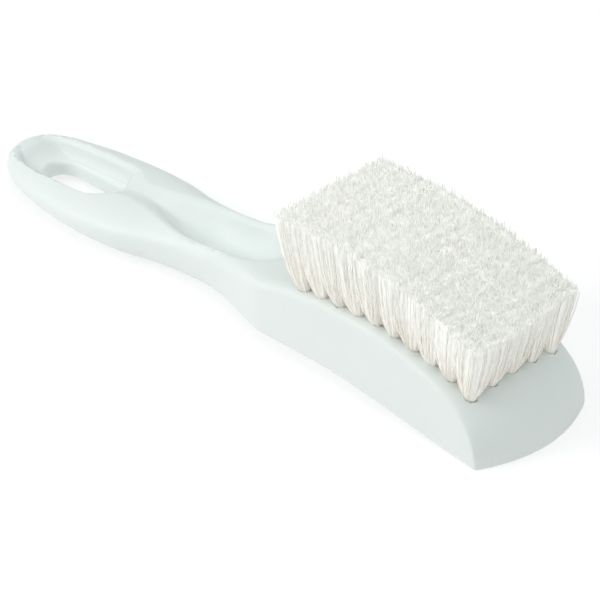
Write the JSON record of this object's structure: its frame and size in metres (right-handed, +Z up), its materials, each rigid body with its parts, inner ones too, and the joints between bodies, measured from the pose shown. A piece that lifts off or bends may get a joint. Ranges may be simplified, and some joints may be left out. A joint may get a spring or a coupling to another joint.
{
  "type": "scrub brush",
  "caption": "Hand-held scrub brush lying on its back: moulded plastic handle with a long hanging slot and a sunken channel, flared block, fanned field of filament tufts.",
  "frame": {"origin": "on the surface that the brush lies on, under the middle of its length and width", "axes": "+X along the brush from the hanging end of the handle to the nose of the block, +Y across it, +Z up, the way the bristles point"},
  "size_m": [0.216, 0.0468, 0.0502],
  "materials": {
    "white_moulded_plastic": "satin",
    "cream_bristle_filament": "matte"
  },
  "bodies": {
    "root": {"handle_block": "white_moulded_plastic", "tuft_r1_c01": "cream_bristle_filament", "tuft_r1_c02": "cream_bristle_filament", "tuft_r1_c03": "cream_bristle_filament", "tuft_r1_c04": "cream_bristle_filament", "tuft_r1_c05": "cream_bristle_filament", "tuft_r1_c06": "cream_bristle_filament", "tuft_r1_c07": "cream_bristle_filament", "tuft_r1_c08": "cream_bristle_filament", "tuft_r1_c09": "cream_bristle_filament", "tuft_r1_c10": "cream_bristle_filament", "tuft_r2_c01": "cream_bristle_filament", "tuft_r2_c02": "cream_bristle_filament", "tuft_r2_c03": "cream_bristle_filament", "tuft_r2_c04": "cream_bristle_filament", "tuft_r2_c05": "cream_bristle_filament", "tuft_r2_c06": "cream_bristle_filament", "tuft_r2_c07": "cream_bristle_filament", "tuft_r2_c08": "cream_bristle_filament", "tuft_r2_c09": "cream_bristle_filament", "tuft_r2_c10": "cream_bristle_filament", "tuft_r3_c01": "cream_bristle_filament", "tuft_r3_c02": "cream_bristle_filament", "tuft_r3_c03": "cream_bristle_filament", "tuft_r3_c04": "cream_bristle_filament", "tuft_r3_c05": "cream_bristle_filament", "tuft_r3_c06": "cream_bristle_filament", "tuft_r3_c07": "cream_bristle_filament", "tuft_r3_c08": "cream_bristle_filament", "tuft_r3_c09": "cream_bristle_filament", "tuft_r3_c10": "cream_bristle_filament", "tuft_r4_c01": "cream_bristle_filament", "tuft_r4_c02": "cream_bristle_filament", "tuft_r4_c03": "cream_bristle_filament", "tuft_r4_c04": "cream_bristle_filament", "tuft_r4_c05": "cream_bristle_filament", "tuft_r4_c06": "cream_bristle_filament", "tuft_r4_c07": "cream_bristle_filament", "tuft_r4_c08": "cream_bristle_filament", "tuft_r4_c09": "cream_bristle_filament", "tuft_r4_c10": "cream_bristle_filament", "tuft_r5_c01": "cream_bristle_filament", "tuft_r5_c02": "cream_bristle_filament", "tuft_r5_c03": "cream_bristle_filament", "tuft_r5_c04": "cream_bristle_filament", "tuft_r5_c05": "cream_bristle_filament", "tuft_r5_c06": "cream_bristle_filament", "tuft_r5_c07": "cream_bristle_filament", "tuft_r5_c08": "cream_bristle_filament", "tuft_r5_c09": "cream_bristle_filament", "tuft_r5_c10": "cream_bristle_filament"}
  },
  "joints": []
}
